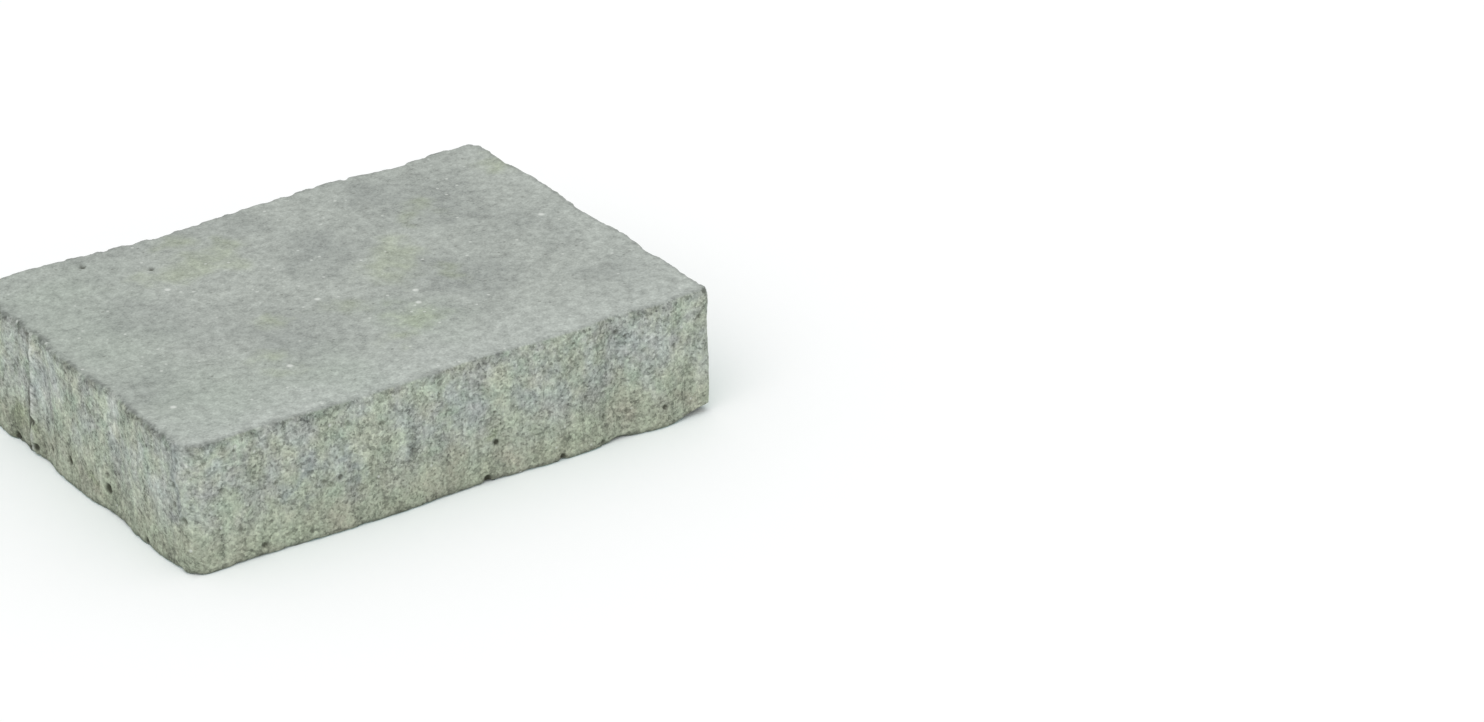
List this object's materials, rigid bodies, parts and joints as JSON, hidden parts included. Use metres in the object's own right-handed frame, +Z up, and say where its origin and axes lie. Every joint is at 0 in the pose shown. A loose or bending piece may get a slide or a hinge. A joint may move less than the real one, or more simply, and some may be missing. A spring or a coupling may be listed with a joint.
{
  "type": "concrete paving stone",
  "caption": "Rectangular concrete paving stone with a flat wearing face, wavy hand-dressed sides and worn arrises, laid flat on its bed face to pave ground.",
  "frame": {"origin": "on the bed face, under the middle of the stone's overall size", "axes": "+X along the stone's length, +Y along its width, away from the front side, +Z up out of the wearing face"},
  "size_m": [0.3495, 0.2597, 0.08],
  "materials": {
    "concrete": "rough cast, fine-grained on top"
  },
  "bodies": {
    "root": {"paving_stone": "concrete"}
  },
  "joints": []
}
